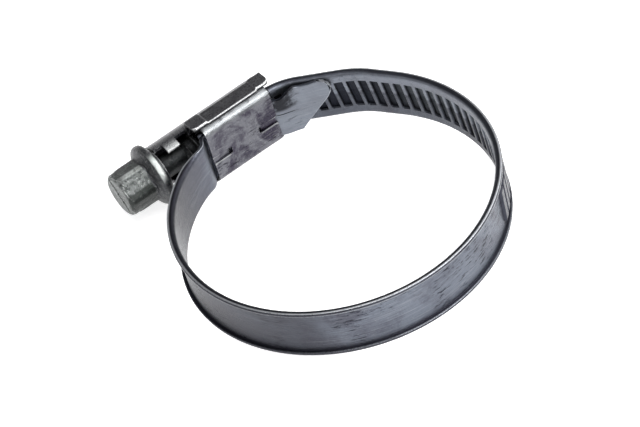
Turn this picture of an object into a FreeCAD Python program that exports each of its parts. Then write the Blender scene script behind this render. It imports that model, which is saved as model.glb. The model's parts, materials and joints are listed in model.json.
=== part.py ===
import FreeCAD, Part
import math
import os

# Worm-drive hose clamp, 9 mm band, opened to its largest size. Millimetres.
# The origin is the ring's centre at half the band's width. +Z runs along the
# ring's axis, the housing sits at +Y, and the screw lies along X with its
# head towards -X.

# band
RING_R = 25.1            # inner face of the ring, the clamped surface
BAND_W = 9.0
BAND_T = 0.6
RIM_H = 1.2              # inner face to the top of the turned-out edge
RIM_BEND_R = 0.9         # inner bend radius of the edge
SLIDE_GAP = 0.05         # between layers of band that slide on each other

# embossed thread on the band
PITCH = 2.0
RIB_H = 0.5
RIB_BASE_W = 1.35
RIB_TOP_W = 0.9
RIB_LEN = 5.4
POCKET_LEN = 5.2
POCKET_TAPER = 0.35
RIB_SLANT_DEG = 7.3      # the worm's lead angle
TAIL_RIBS = 6
LOOP_RIBS = 29

# saddle plate
PLATE_T = 0.5
PLATE_Y = 25.0           # its inner face
PLATE_X = (-6.9, 5.7)
PLATE_HALF_W = 5.6
PLATE_BEND_R = 1.3
PLATE_INNER_BEND_R = 0.55
WALL_TOP_Y = 28.6
LANCE_SIZE = (3.2, 1.2)
LANCE_DEPTH = 0.3
LANCE_Z = -0.7
LANCE_SLIT = 0.4

# ends of the band
TAIL_X = (-7.4, 4.8)
FIXED_INSET = 0.1        # the fixed end bends this far inside the saddle plate's ends
MOUTH_X = 5.1            # the band starts to bend down here
MOUTH_BENDS = (9.0, 300.0)    # radii of the bend towards the ring and of the bend back
FIXED_BENDS = (0.8, 5.0)      # the same where the tongue leaves the saddle plate
LEAF_BENDS = (0.8, 3.0)       # the same at the saddle plate's other end
LANDING_BENDS = (14.0, 300.0) # the same where the ring passes the tongue's tip
TONGUE_ARC = 17.5        # length of the tongue from the housing's middle
TONGUE_TIP_R = 2.2
TONGUE_NOSE = (0.9, 0.8)      # the tip's edge ends this far back, at this height
TONGUE_CLIP = 5.3        # from there the oblique cut drops this far, at 45 degrees

# worm screw
AXIS_Y = 29.75
WORM_TIP_R = 2.85
WORM_ROOT_R = 2.2
THREAD_TIP_W = 0.5
THREAD_ROOT_W = 0.9
WORM_X = (-9.6, 5.1)
PILOT_R = 1.7
PILOT_END_X = 7.3
NECK_R = 2.0
HEX_AF = 7.0
HEX_X = (-22.2, -17.0)
HEX_TURN_DEG = 39.0      # from +Z to the nearest corner
HEX_CORNER_R = 3.85
FLANGE_R = 5.3
FLANGE_X = (-17.0, -15.0)
BEAD_R = 3.9
BEAD_END_X = -14.3
SLOT_W = 1.2
SLOT_DEPTH = 1.6
EDGE_CUT = 0.3           # chamfer on the flange's rear edge and the pilot
CONE_STEP = 0.5          # the flange's front slopes in two steps
CONE_LEN = 0.8
HEX_CUT = (0.6, 0.2)     # chamfer on the head: its length, and how far it cuts the flats

# housing shell
SHELL_T = 0.7
DOME_R = 4.15
DOME_X = (-14.2, 7.0)
SKIRT_X = (-8.1, 6.9)
SKIRT_HALF_W = 6.25
SKIRT_Y = (26.2, 29.35)   # its lower edge and the top of the shelf above it
SKIRT_CORNER_R = 0.8
PRESS_X = (-5.3, 4.3)    # stretch of the skirt pressed inwards
PRESS_DEPTH = 0.25
PRESS_LOW_Y = 26.0
TAB_X = (-12.6, -10.2)
TAB_WRAP_DEG = 25.0
REAR_LIP_T = 0.7

OVERRUN = 1.0            # how far cutting shapes reach past what they cut
SINK = 0.1               # how far joined shapes are let into each other

PLATE_TOP = PLATE_Y + PLATE_T
FIXED_TOP = PLATE_TOP + BAND_T
TAIL_Y = FIXED_TOP + SLIDE_GAP
TONGUE_OVER_R = RING_R + BAND_T + SLIDE_GAP
TONGUE_TIP_DEG = 90 - math.degrees(TONGUE_ARC / (RING_R + BAND_T / 2))

Vector = FreeCAD.Vector
Z_AXIS = Vector(0, 0, 1)
X_AXIS = Vector(1, 0, 0)


def polar(radius, degrees):
    angle = math.radians(degrees)
    return Vector(radius * math.cos(angle), radius * math.sin(angle), 0)


def box(x, y, z):
    """A box from three (low, high) pairs."""
    return Part.makeBox(x[1] - x[0], y[1] - y[0], z[1] - z[0], Vector(x[0], y[0], z[0]))


def fuse(shapes):
    first = shapes[0]
    return first.fuse(shapes[1:]).removeSplitter() if len(shapes) > 1 else first


def solid_of(shape):
    solids = shape.Solids
    assert len(solids) == 1, f"expected one solid, found {len(solids)}"
    return solids[0]


def rimmed_section(place):
    """The band's section, with both edges turned outwards. place(out, z) is a point."""
    flat = BAND_W / 2 - RIM_BEND_R
    edge = BAND_W / 2
    outer_bend = RIM_BEND_R - BAND_T
    diagonal = math.sqrt(0.5)

    def side(sign):
        """Corner and mid-arc points from the inner face round to the outer face."""
        return [
            place(0, sign * flat),
            place(RIM_BEND_R * (1 - diagonal), sign * (flat + RIM_BEND_R * diagonal)),
            place(RIM_BEND_R, sign * edge),
            place(RIM_H, sign * edge),
            place(RIM_H, sign * (edge - BAND_T)),
            place(RIM_BEND_R, sign * (edge - BAND_T)),
            place(RIM_BEND_R - outer_bend * diagonal, sign * (flat + outer_bend * diagonal)),
            place(BAND_T, sign * flat),
        ]

    edges = []
    for points in (side(1), side(-1)):
        edges.append(Part.Arc(points[0], points[1], points[2]).toShape())
        edges.append(Part.makeLine(points[2], points[3]))
        edges.append(Part.makeLine(points[3], points[4]))
        edges.append(Part.makeLine(points[4], points[5]))
        edges.append(Part.Arc(points[5], points[6], points[7]).toShape())
    edges.append(Part.makeLine(side(1)[7], side(-1)[7]))
    edges.append(Part.makeLine(side(1)[0], side(-1)[0]))
    return Part.Face(Part.Wire(Part.__sortEdges__(edges)))


def flat_section(place):
    """The band's section where its edges are pressed flat."""
    half = BAND_W / 2
    corners = [(0, -half), (0, half), (BAND_T, half), (BAND_T, -half), (0, -half)]
    return Part.Face(Part.makePolygon([place(out, z) for out, z in corners]))


class Strip:
    """Band laid along straight runs and arcs in the XY plane, outside to its left."""

    def __init__(self, section, x, y, heading):
        self.section = section
        self.point = Vector(x, y, 0)
        self.heading = heading
        self.solids = []
        self.spans = []

    def place(self, out, z):
        left = polar(1, self.heading + 90)
        return self.point + left * out + Vector(0, 0, z)

    def line(self, length):
        run = polar(length, self.heading)
        self.solids.append(self.section(self.place).extrude(run))
        self.spans.append((length, self.point, self.heading, None, 0))
        self.point = self.point + run

    def arc(self, radius, turn):
        """Turn left by turn degrees (right if negative); radius is the inner face's."""
        sign = 1 if turn > 0 else -1
        left = polar(1, self.heading + 90)
        centre = self.point + left * (sign * radius)
        neutral = radius - sign * BAND_T / 2
        length = math.radians(abs(turn)) * neutral
        self.solids.append(self.section(self.place).revolve(centre, Z_AXIS, turn))
        self.spans.append((length, self.point, self.heading, centre, turn))
        spun = FreeCAD.Rotation(Z_AXIS, turn).multVec(self.point - centre)
        self.point = centre + spun
        self.heading += turn

    def at(self, distance):
        """Point on the inner face and heading, at a distance along the mid-thickness."""
        for length, point, heading, centre, turn in self.spans:
            if distance <= length:
                break
            distance -= length
        if centre is None:
            return point + polar(distance, heading), heading
        part_turn = turn * distance / length
        spun = FreeCAD.Rotation(Z_AXIS, part_turn).multVec(point - centre)
        return centre + spun, heading + part_turn

    def shape(self):
        return fuse(self.solids)


def step_down(strip, bends, ring_r):
    """Bend a strip inwards and back, so that it lands smoothly on the circle ring_r."""
    bend_r, back_r = bends
    left = polar(1, strip.heading + 90)
    first = strip.point - left * bend_r
    reach = bend_r + back_r
    along = math.degrees(math.atan2(first.y, first.x))
    cosine = ((ring_r + back_r) ** 2 - first.Length ** 2 - reach ** 2) / (2 * reach * first.Length)
    towards = along - math.degrees(math.acos(cosine))
    second = first + polar(reach, towards)
    landing = math.degrees(math.atan2(second.y, second.x))
    strip.arc(bend_r, towards - 90 - strip.heading)
    strip.arc(back_r, landing - 90 - strip.heading)
    return landing


def rib_block(point, heading, width_in, width_out, low, high, length):
    """A tapered bar across the band: width_in at height low, width_out at height high."""
    corners = [(-width_in / 2, low), (width_in / 2, low), (width_out / 2, high), (-width_out / 2, high)]
    corners.append(corners[0])
    outline = [Vector(along, out, -length / 2) for along, out in corners]
    bar = Part.Face(Part.makePolygon(outline)).extrude(Vector(0, 0, length))
    bar.rotate(Vector(0, 0, 0), Vector(0, 1, 0), -RIB_SLANT_DEG)
    bar.rotate(Vector(0, 0, 0), Z_AXIS, heading)
    bar.translate(point)
    return bar


def emboss(strip_shape, places):
    """Press the thread's ribs outwards, leaving pockets in the inner face."""
    ribs, pockets = [], []
    for point, heading in places:
        ribs.append(
            rib_block(point, heading, RIB_BASE_W, RIB_TOP_W, BAND_T - SINK, BAND_T + RIB_H, RIB_LEN)
        )
        pockets.append(
            rib_block(point, heading, RIB_BASE_W, RIB_BASE_W - POCKET_TAPER, -SINK, RIB_H, POCKET_LEN)
        )
    return strip_shape.fuse(ribs).cut(pockets)


def make_band_tail():
    """The loose end of the band: straight, threaded, inside the housing."""
    strip = Strip(rimmed_section, TAIL_X[0], TAIL_Y, 0)
    strip.line(TAIL_X[1] - TAIL_X[0])
    last_rib = TAIL_X[1] - PITCH / 2
    places = [
        (Vector(last_rib - PITCH * k, TAIL_Y, 0), 0) for k in range(TAIL_RIBS)
    ]
    return emboss(strip.shape(), places)


def make_band_loop(left_joint_deg):
    """The ring, clockwise from the housing's mouth round to the fixed end."""
    strip = Strip(rimmed_section, TAIL_X[1], TAIL_Y, 0)
    strip.line(MOUTH_X - TAIL_X[1])
    over_tongue = step_down(strip, MOUTH_BENDS, TONGUE_OVER_R)
    strip.arc(TONGUE_OVER_R, TONGUE_TIP_DEG - over_tongue)
    on_ring = step_down(strip, LANDING_BENDS, RING_R)
    strip.arc(RING_R, -180 - on_ring)
    strip.arc(RING_R, left_joint_deg - 180)
    places = [strip.at(PITCH * (k + 0.5)) for k in range(LOOP_RIBS)]
    return emboss(strip.shape(), places)


def make_band_fixed_end():
    """The fixed end: flat through the housing, tongue to the right, bend to the left."""
    right = Strip(flat_section, 0, PLATE_TOP, 0)
    right.line(PLATE_X[1] - FIXED_INSET)
    landing = step_down(right, FIXED_BENDS, RING_R)
    right.arc(RING_R, TONGUE_TIP_DEG - landing)
    tongue = cut_tongue(right.shape())

    left = Strip(flat_section, 0, PLATE_TOP, 0)
    left.line(-PLATE_X[0] - FIXED_INSET)
    left_landing = step_down(left, LEAF_BENDS, RING_R)
    joint_deg = 180 - left_landing
    bend = left.shape().mirror(Vector(0, 0, 0), X_AXIS)
    return fuse([tongue, bend]), joint_deg


def cut_tongue(tongue):
    """Slant the tongue's tip, cut its lower corner off and round its upper corner."""
    half = BAND_W / 2
    over = 2 * OVERRUN
    through = 6.0
    back, height = TONGUE_NOSE
    tip_low = half - TONGUE_TIP_R
    rise = (tip_low - height) / back
    corners = [
        Vector(over, -over, tip_low + rise * over),
        Vector(-back, -over, height),
        Vector(-back - TONGUE_CLIP - over, -over, height - TONGUE_CLIP - over),
        Vector(over, -over, height - TONGUE_CLIP - over),
    ]
    wedge = Part.Face(Part.makePolygon(corners + corners[:1])).extrude(Vector(0, through, 0))
    corner = box((-TONGUE_TIP_R, over), (-over, through - over), (tip_low, half + over))
    rounding = Part.makeCylinder(
        TONGUE_TIP_R, through, Vector(-TONGUE_TIP_R, -over, tip_low), Vector(0, 1, 0)
    )
    for tool in (wedge, corner.cut(rounding)):
        tool.rotate(Vector(0, 0, 0), Z_AXIS, TONGUE_TIP_DEG - 90)
        tool.translate(polar(RING_R, TONGUE_TIP_DEG))
        tongue = tongue.cut(tool)
    return tongue


def make_saddle_plate():
    """A channel under the band, its two side walls held in the housing's folds."""
    length = PLATE_X[1] - PLATE_X[0]
    outer = box(PLATE_X, (PLATE_Y, WALL_TOP_Y), (-PLATE_HALF_W, PLATE_HALF_W))
    bends = [e for e in outer.Edges if along_x_at(e, PLATE_Y)]
    outer = outer.makeFillet(PLATE_BEND_R, bends)
    inner_half = PLATE_HALF_W - PLATE_T
    inner = box(
        (PLATE_X[0] - OVERRUN, PLATE_X[1] + OVERRUN),
        (PLATE_TOP, WALL_TOP_Y + OVERRUN),
        (-inner_half, inner_half),
    )
    inner_bends = [e for e in inner.Edges if along_x_at(e, PLATE_TOP)]
    inner = inner.makeFillet(PLATE_INNER_BEND_R, inner_bends)
    plate = outer.cut(inner)
    for sign, end in ((-1, PLATE_X[0]), (1, PLATE_X[1])):
        plate = lance(plate, sign, end)
    return plate


def along_x_at(edge, y):
    ends = [v.Point for v in edge.Vertexes]
    return len(ends) == 2 and abs(ends[0].x - ends[1].x) > 1 and all(abs(p.y - y) < 1e-6 for p in ends)


def lance(plate, sign, end):
    """A half-sheared tongue at one end of the plate, pushed in from its inner face."""
    length, width = LANCE_SIZE
    inner_x = end - sign * length
    outer_x = end + sign * OVERRUN
    span = (min(outer_x, inner_x), max(outer_x, inner_x))
    z = (LANCE_Z - width / 2, LANCE_Z + width / 2)
    hole_end = inner_x - sign * LANCE_SLIT
    hole_x = (min(inner_x, hole_end), max(inner_x, hole_end))
    recess = box(span, (PLATE_Y - OVERRUN, PLATE_Y + LANCE_DEPTH), z)
    hole = box(hole_x, (PLATE_Y - OVERRUN, PLATE_TOP + OVERRUN), z)
    return plate.cut([recess, hole])


def turned(profile):
    """A solid turned about the screw's axis from (x, radius) points."""
    points = [Vector(x, AXIS_Y + radius, 0) for x, radius in profile]
    face = Part.Face(Part.makePolygon(points + points[:1]))
    return face.revolve(Vector(0, AXIS_Y, 0), X_AXIS, 360)


def make_thread():
    """One right-hand thread, in mesh with the ribs of the band's tail."""
    turns_out = 1.0
    start_x = WORM_X[0] - turns_out * PITCH
    height = WORM_X[1] - start_x + turns_out * PITCH
    sink = 0.15
    helix = Part.makeHelix(PITCH, height, WORM_ROOT_R - sink)
    slope = (THREAD_ROOT_W - THREAD_TIP_W) / (WORM_TIP_R - WORM_ROOT_R)
    low_w = THREAD_ROOT_W + slope * sink
    section = [
        Vector(WORM_ROOT_R - sink, 0, -low_w / 2),
        Vector(WORM_ROOT_R - sink, 0, low_w / 2),
        Vector(WORM_TIP_R, 0, THREAD_TIP_W / 2),
        Vector(WORM_TIP_R, 0, -THREAD_TIP_W / 2),
    ]
    wire = Part.makePolygon(section + section[:1])
    thread = Part.Wire(helix).makePipeShell([wire], True, True)
    # the helix axis turns from +Z to +X, which carries the starting side from +X to -Z
    thread.rotate(Vector(0, 0, 0), Vector(0, 1, 0), 90)
    # a tooth's middle lies half a pitch from the last rib, on the band's side of the worm
    mid_gap = TAIL_X[1]
    turns_to_band = 0.75
    first_tooth = start_x + PITCH * turns_to_band
    shift = (mid_gap - first_tooth) % PITCH
    thread.translate(Vector(start_x + shift - PITCH, AXIS_Y, 0))
    reach = 2 * WORM_TIP_R
    keep = box(WORM_X, (AXIS_Y - reach, AXIS_Y + reach), (-reach, reach))
    return thread.common(keep)


def make_worm_screw():
    """Hexagon head with a slot, flange, neck, worm and pilot, in one piece."""
    body = turned([
        (HEX_X[1] - SINK, 0),
        (HEX_X[1] - SINK, HEX_CORNER_R + SINK),
        (FLANGE_X[0] + EDGE_CUT, FLANGE_R - CONE_STEP),
        (FLANGE_X[0] + CONE_LEN, FLANGE_R),
        (FLANGE_X[1] - EDGE_CUT, FLANGE_R),
        (FLANGE_X[1], FLANGE_R - EDGE_CUT),
        (FLANGE_X[1], BEAD_R),
        (BEAD_END_X, BEAD_R),
        (BEAD_END_X, NECK_R),
        (WORM_X[0], NECK_R),
        (WORM_X[0], WORM_ROOT_R),
        (WORM_X[1], WORM_ROOT_R),
        (WORM_X[1], PILOT_R),
        (PILOT_END_X - EDGE_CUT, PILOT_R),
        (PILOT_END_X, PILOT_R - EDGE_CUT),
        (PILOT_END_X, 0),
    ])
    return body.fuse([make_hexagon(), make_thread()])


def make_hexagon():
    """The head: its corners rounded and its end chamfered, with a slot across it."""
    corner_r = HEX_AF / math.sqrt(3)
    points = []
    for k in range(7):
        angle = math.radians(HEX_TURN_DEG + 60 * k)
        points.append(Vector(HEX_X[0], AXIS_Y + corner_r * math.sin(angle), corner_r * math.cos(angle)))
    length = HEX_X[1] - HEX_X[0]
    prism = Part.Face(Part.makePolygon(points)).extrude(Vector(length, 0, 0))
    rounder = turned([
        (HEX_X[0], 0),
        (HEX_X[0], HEX_AF / 2 - HEX_CUT[1]),
        (HEX_X[0] + HEX_CUT[0], HEX_CORNER_R),
        (HEX_X[1], HEX_CORNER_R),
        (HEX_X[1], 0),
    ])
    slot = box(
        (HEX_X[0] - OVERRUN, HEX_X[0] + SLOT_DEPTH), (-SLOT_W / 2, SLOT_W / 2), (-HEX_AF, HEX_AF)
    )
    slot.rotate(Vector(0, 0, 0), X_AXIS, -HEX_TURN_DEG)
    slot.translate(Vector(0, AXIS_Y, 0))
    return prism.common(rounder).cut(slot)


def ring_sector(x, low_deg, high_deg):
    """Part of the shell's tube about the screw, from low_deg to high_deg above +Z."""
    face = Part.Face(Part.makePolygon([
        Vector(x[0], AXIS_Y, DOME_R - SHELL_T),
        Vector(x[1], AXIS_Y, DOME_R - SHELL_T),
        Vector(x[1], AXIS_Y, DOME_R),
        Vector(x[0], AXIS_Y, DOME_R),
        Vector(x[0], AXIS_Y, DOME_R - SHELL_T),
    ]))
    face.rotate(Vector(0, AXIS_Y, 0), X_AXIS, -low_deg)
    return face.revolve(Vector(0, AXIS_Y, 0), X_AXIS, -(high_deg - low_deg))


def make_skirt(sign):
    """One side of the shell: out over the saddle's wall and down outside it."""
    low_y = WALL_TOP_Y + SLIDE_GAP
    shelf_z = sorted((sign * (DOME_R - SHELL_T), sign * SKIRT_HALF_W))
    shelf = box(SKIRT_X, (low_y, SKIRT_Y[1]), shelf_z)
    foot = box(SKIRT_X, (low_y, AXIS_Y), sorted((sign * (DOME_R - SHELL_T), sign * DOME_R)))
    inner = PLATE_HALF_W + SLIDE_GAP
    side = box(SKIRT_X, SKIRT_Y, sorted((sign * inner, sign * SKIRT_HALF_W)))
    corners = [e for e in side.Edges if is_lower_end(e)]
    side = side.makeFillet(SKIRT_CORNER_R, corners)
    middle = box(PRESS_X, (PRESS_LOW_Y, SKIRT_Y[1]), sorted((sign * inner, sign * SKIRT_HALF_W)))
    pressed = box(
        PRESS_X,
        (SKIRT_Y[0] - OVERRUN, SKIRT_Y[1] + OVERRUN),
        sorted((sign * (SKIRT_HALF_W - PRESS_DEPTH), sign * (SKIRT_HALF_W + OVERRUN))),
    )
    return shelf.fuse([foot, side, middle]).cut(pressed)


def is_lower_end(edge):
    ends = [v.Point for v in edge.Vertexes]
    return all(abs(p.y - SKIRT_Y[0]) < 1e-6 for p in ends) and abs(ends[0].z - ends[1].z) > 0.1


def make_housing_shell():
    """Dome over the screw, skirts hooked over the saddle, a tab round the neck."""
    dome = ring_sector(DOME_X, 0, 180)
    tab = ring_sector(TAB_X, -TAB_WRAP_DEG, 180 + TAB_WRAP_DEG)
    lip = turned([
        (DOME_X[1] - REAR_LIP_T, PILOT_R + SLIDE_GAP),
        (DOME_X[1], PILOT_R + SLIDE_GAP),
        (DOME_X[1], DOME_R - SINK),
        (DOME_X[1] - REAR_LIP_T, DOME_R - SINK),
    ])
    reach = 2 * DOME_R
    upper = box(DOME_X, (AXIS_Y, AXIS_Y + reach), (-reach, reach))
    return dome.fuse([tab, lip.common(upper), make_skirt(1), make_skirt(-1)]).removeSplitter()


def main():
    os.makedirs("parts", exist_ok=True)
    fixed_end, joint_deg = make_band_fixed_end()
    parts = {
        "housing_shell": make_housing_shell(),
        "saddle_plate": make_saddle_plate(),
        "worm_screw": make_worm_screw(),
        "band_fixed_end": fixed_end,
        "band_loop": make_band_loop(joint_deg),
        "band_tail": make_band_tail(),
    }
    for name, shape in parts.items():
        solid = solid_of(shape)
        assert solid.isValid(), name
        solid.exportStep(f"parts/{name}.step")
        print(name, round(solid.Volume, 2), solid.BoundBox)


main()
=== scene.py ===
import json
import math

import bmesh
import bpy
import numpy as np
from mathutils import Matrix, Vector


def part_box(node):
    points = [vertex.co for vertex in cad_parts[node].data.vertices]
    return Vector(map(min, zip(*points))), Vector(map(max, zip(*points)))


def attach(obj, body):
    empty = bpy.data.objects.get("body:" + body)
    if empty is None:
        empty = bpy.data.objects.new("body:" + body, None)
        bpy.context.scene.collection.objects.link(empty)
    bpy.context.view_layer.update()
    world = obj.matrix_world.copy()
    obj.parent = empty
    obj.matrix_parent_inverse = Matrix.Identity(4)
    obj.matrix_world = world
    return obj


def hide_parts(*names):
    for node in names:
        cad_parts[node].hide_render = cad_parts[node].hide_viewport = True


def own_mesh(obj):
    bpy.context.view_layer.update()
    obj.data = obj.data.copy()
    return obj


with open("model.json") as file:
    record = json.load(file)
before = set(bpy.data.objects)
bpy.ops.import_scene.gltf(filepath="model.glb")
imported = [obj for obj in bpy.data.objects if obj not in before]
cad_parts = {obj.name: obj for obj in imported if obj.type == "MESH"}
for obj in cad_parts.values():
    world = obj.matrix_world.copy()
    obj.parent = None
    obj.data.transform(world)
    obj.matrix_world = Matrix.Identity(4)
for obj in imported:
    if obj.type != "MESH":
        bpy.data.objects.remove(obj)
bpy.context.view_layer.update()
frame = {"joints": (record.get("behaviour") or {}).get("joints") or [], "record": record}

# Lengths are in millimetres until new_mesh turns them into metres.
MM = 0.001


def joint(name):
    return next(j for j in frame["joints"] if j["name"] == name)


def span(node, axis):
    """A CAD node's low and high along axis 0, 1 or 2, in millimetres."""
    low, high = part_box(node)
    return low[axis] / MM, high[axis] / MM


# ring and band
RING_R = frame["record"]["mounts"][0]["dims"]["r_mm"]
BAND_T = 0.6
HALF_W = span("band_loop", 2)[1]
RIM_H = 1.2
RIM_BEND_R = 0.72
FLAT_HALF = HALF_W - RIM_BEND_R
TAIL_X = (span("band_tail", 0)[0], 4.8)
TAIL_Y = span("band_tail", 1)[0]
PLATE_X = span("saddle_plate", 0)
PLATE_Y = span("saddle_plate", 1)[0]
PLATE_TOP = PLATE_Y + 0.5
SLIDE_GAP = TAIL_Y - PLATE_TOP - BAND_T
OVER_TONGUE_R = RING_R + BAND_T + SLIDE_GAP

# bends of the band: radius towards the ring, radius back onto it
MOUTH_X = 5.1
MOUTH_BENDS = (9.0, 300.0)
FIXED_BENDS = (0.8, 5.0)
LEAF_BENDS = (0.8, 3.0)
LANDING_BENDS = (14.0, 300.0)

# tongue
TONGUE_ARC = 17.5
TONGUE_TIP_R = 2.2
TONGUE_NOSE = (0.9, 0.8)
TONGUE_TIP_DEG = 90 - math.degrees(TONGUE_ARC / (RING_R + BAND_T / 2))

# embossed thread
PITCH = 2.0
RIB_H = 0.5
POCKET_HALF = 0.67
RIB_HALF = 0.74
POCKET_LEN = 5.2
SLANT = 0.128
LOOP_RIBS = 29

# saddle plate
PLATE_HALF_W = span("saddle_plate", 2)[1]
WALL_TOP_Y = span("saddle_plate", 1)[1]
PLATE_T = 0.5
PLATE_BENDS = (1.3, 0.55)
LANCE_LENGTH = 3.2
LANCE_HALF = 0.6
LANCE_Z = -0.7
LANCE_SLIT = 0.4
LANCE_DEPTH = 0.3

# housing shell
AXIS_Y = joint("screw_spin")["pos_m"][1] / MM
DOME_X = span("housing_shell", 0)
DOME_R = 4.15
SHELL_T = 0.7
SKIRT_X = (-8.1, 6.9)
SKIRT_HALF_W = span("housing_shell", 2)[1]
SKIRT_LOW = 26.2
SHELF_TOP = 29.35
SKIRT_CORNER_R = 0.8
PRESS_X = (-5.3, 4.3)
PRESS_DEPTH = 0.25
PRESS_LOW = 26.0
TAB_X = (-12.6, -10.2)
TAB_WRAP = 25.0

# worm screw
HEX_X = (span("worm_screw", 0)[0], -17.0)
HEX_AF = 7.0
HEX_CORNER_R = 3.85
HEX_TURN = 39.0
FLANGE_R = 5.3
FLANGE_END = -15.0
BEAD_R = 3.9
BEAD_END = -14.3
NECK_R = 2.0
WORM_X = (-9.6, 5.1)
WORM_ROOT_R = 2.2
WORM_TIP_R = 2.85
PILOT_R = 1.7
PILOT_END = span("worm_screw", 0)[1]
SLOT_W = 1.2
SLOT_DEPTH = 1.6


# ---------------------------------------------------------------- mesh helpers

def relief(mesh):
    """How convex (towards 1) or hollow (towards -1) the surface is at each vertex."""
    count = len(mesh.vertices)
    places = np.empty(count * 3)
    mesh.vertices.foreach_get("co", places)
    places = places.reshape(-1, 3)
    normals = np.empty(count * 3)
    mesh.vertices.foreach_get("normal", normals)
    normals = normals.reshape(-1, 3)
    pairs = np.empty(len(mesh.edges) * 2, dtype=np.int64)
    mesh.edges.foreach_get("vertices", pairs)
    pairs = pairs.reshape(-1, 2)
    run = places[pairs[:, 0]] - places[pairs[:, 1]]
    run /= np.maximum(np.linalg.norm(run, axis=1), 1e-9)[:, None]
    total = np.zeros(count)
    np.add.at(total, pairs[:, 0], np.einsum("ij,ij->i", normals[pairs[:, 0]], run))
    np.add.at(total, pairs[:, 1], -np.einsum("ij,ij->i", normals[pairs[:, 1]], run))
    uses = np.bincount(pairs.ravel(), minlength=count)
    return np.clip(2.5 * total / np.maximum(uses, 1), -1, 1)


def add_values(mesh, name, values):
    layer = mesh.attributes.new(name, "FLOAT", "POINT")
    layer.data.foreach_set("value", np.asarray(values, dtype=np.float32))


def finish_mesh(mesh, name, smooth_deg):
    mesh.shade_smooth()
    mesh.set_sharp_from_angle(angle=math.radians(smooth_deg))
    add_values(mesh, "relief", relief(mesh))
    piece = bpy.data.objects.new(name, mesh)
    bpy.context.scene.collection.objects.link(piece)
    return piece


def new_mesh(name, points, faces, smooth_deg=35, uvs=None, values=None):
    """A mesh object from points in millimetres, shaded smooth up to smooth_deg."""
    mesh = bpy.data.meshes.new(name)
    mesh.from_pydata([tuple(c * MM for c in p) for p in points], [], faces)
    if uvs is not None:
        layer = mesh.uv_layers.new(name="UVMap")
        for loop in mesh.loops:
            layer.data[loop.index].uv = uvs[loop.vertex_index]
    for key, numbers in (values or {}).items():
        add_values(mesh, key, numbers)
    return finish_mesh(mesh, name, smooth_deg)


def bevelled(name, points, faces, bevel, smooth_deg=35, edge_deg=40):
    """A mesh object whose edges sharper than edge_deg are rounded off by bevel."""
    mesh = bpy.data.meshes.new(name)
    mesh.from_pydata([tuple(c * MM for c in p) for p in points], [], faces)
    work = bmesh.new()
    work.from_mesh(mesh)
    bmesh.ops.recalc_face_normals(work, faces=work.faces[:])
    sharp = [e for e in work.edges if e.is_manifold and e.calc_face_angle(0) > math.radians(edge_deg)]
    bmesh.ops.bevel(
        work, geom=sharp, offset=bevel * MM, segments=2, affect="EDGES",
        profile=0.5, clamp_overlap=True,
    )
    bmesh.ops.recalc_face_normals(work, faces=work.faces[:])
    work.to_mesh(mesh)
    work.free()
    return finish_mesh(mesh, name, smooth_deg)


def smooth(t):
    t = min(1.0, max(0.0, t))
    return t * t * (3 - 2 * t)


def lerp(a, b, t):
    return a + (b - a) * t


def even(start, end, step):
    count = max(1, round(abs(end - start) / step))
    return [start + (end - start) * k / count for k in range(count + 1)]


def arc_points(y, z, radius, start, end, count):
    """Points about (y, z); 0 degrees looks along +Z and 90 along +Y."""
    angles = [math.radians(lerp(start, end, k / (count - 1))) for k in range(count)]
    return [(y + radius * math.sin(a), z + radius * math.cos(a)) for a in angles]


def thick_sheet(name, rows, active, bevel):
    """A sheet with holes and tabs. Each row is (outer points, inner points);
    active(k, i) says whether the cell between rows k, k+1 and points i, i+1 is there."""
    points, faces, index = [], [], {}

    def vertex(side, k, i):
        key = (side, k, i)
        if key not in index:
            index[key] = len(points)
            points.append(rows[k][side][i])
        return index[key]

    width = len(rows[0][0]) - 1
    cells = {(k, i) for k in range(len(rows) - 1) for i in range(width) if active(k, i)}
    for k, i in cells:
        corners = [(k, i), (k + 1, i), (k + 1, i + 1), (k, i + 1)]
        faces.append([vertex(0, *c) for c in corners])
        faces.append([vertex(1, *c) for c in reversed(corners)])
        beside = [(k, i - 1), (k + 1, i), (k, i + 1), (k - 1, i)]
        for n, other in enumerate(beside):
            if other not in cells:
                a, b = corners[n], corners[(n + 1) % 4]
                faces.append([vertex(0, *b), vertex(0, *a), vertex(1, *a), vertex(1, *b)])
    return bevelled(name, points, faces, bevel)


# ---------------------------------------------------------------- the band's path

class Path:
    """Inner face of the band in the XY plane: runs and arcs, with outside to the left."""

    def __init__(self, x, y, heading):
        self.x, self.y, self.heading = x, y, heading
        self.spans = []
        self.length = 0.0

    def line(self, length):
        self.spans.append((length, self.x, self.y, self.heading, 0, 0))
        self.x += length * math.cos(math.radians(self.heading))
        self.y += length * math.sin(math.radians(self.heading))
        self.length += length

    def arc(self, radius, turn):
        sign = 1 if turn > 0 else -1
        length = math.radians(abs(turn)) * (radius - sign * BAND_T / 2)
        self.spans.append((length, self.x, self.y, self.heading, radius * sign, turn))
        self.x, self.y, self.heading = self.on_arc(self.x, self.y, self.heading, radius * sign, turn)
        self.length += length

    @staticmethod
    def on_arc(x, y, heading, radius, turn):
        """Where a turn about the point radius to the left ends up."""
        left = math.radians(heading + 90)
        centre_x, centre_y = x + radius * math.cos(left), y + radius * math.sin(left)
        back = math.radians(heading + turn - 90)
        return centre_x + radius * math.cos(back), centre_y + radius * math.sin(back), heading + turn

    def at(self, distance):
        """Point and heading at a distance along the middle of the sheet."""
        for length, x, y, heading, radius, turn in self.spans:
            if distance <= length:
                break
            distance -= length
        else:
            distance += length
        if turn == 0:
            run = math.radians(heading)
            return x + distance * math.cos(run), y + distance * math.sin(run), heading
        return self.on_arc(x, y, heading, radius, turn * distance / length)


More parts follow.
